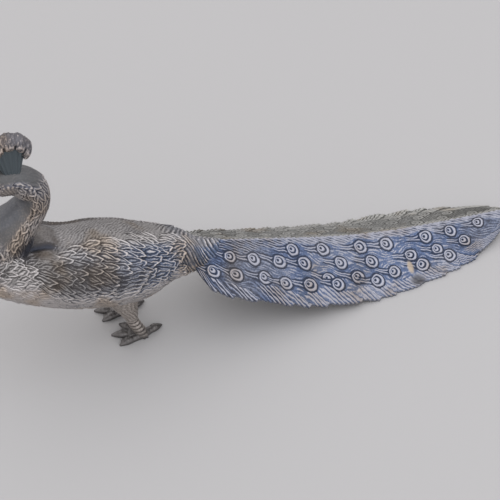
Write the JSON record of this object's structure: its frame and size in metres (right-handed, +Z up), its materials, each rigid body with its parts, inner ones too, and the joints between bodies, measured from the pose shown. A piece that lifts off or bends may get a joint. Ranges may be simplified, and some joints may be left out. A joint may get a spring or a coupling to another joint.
{
  "type": "peacock_figurine",
  "caption": "Cast silver peacock figurine with an S-curved neck, a fan crest and a long train of eyed feathers that sweeps down to the table",
  "frame": {"origin": "centre of the bounding box's bottom face, on the table", "axes": "+X from the head to the tip of the train, +Y to the bird's right, +Z up; the bird faces -X"},
  "size_m": [0.31, 0.0644, 0.1557],
  "materials": {
    "tarnished_silver": "cast and chased silver with dark patina in the recesses"
  },
  "bodies": {
    "root": {"peacock": "tarnished_silver"}
  },
  "joints": []
}
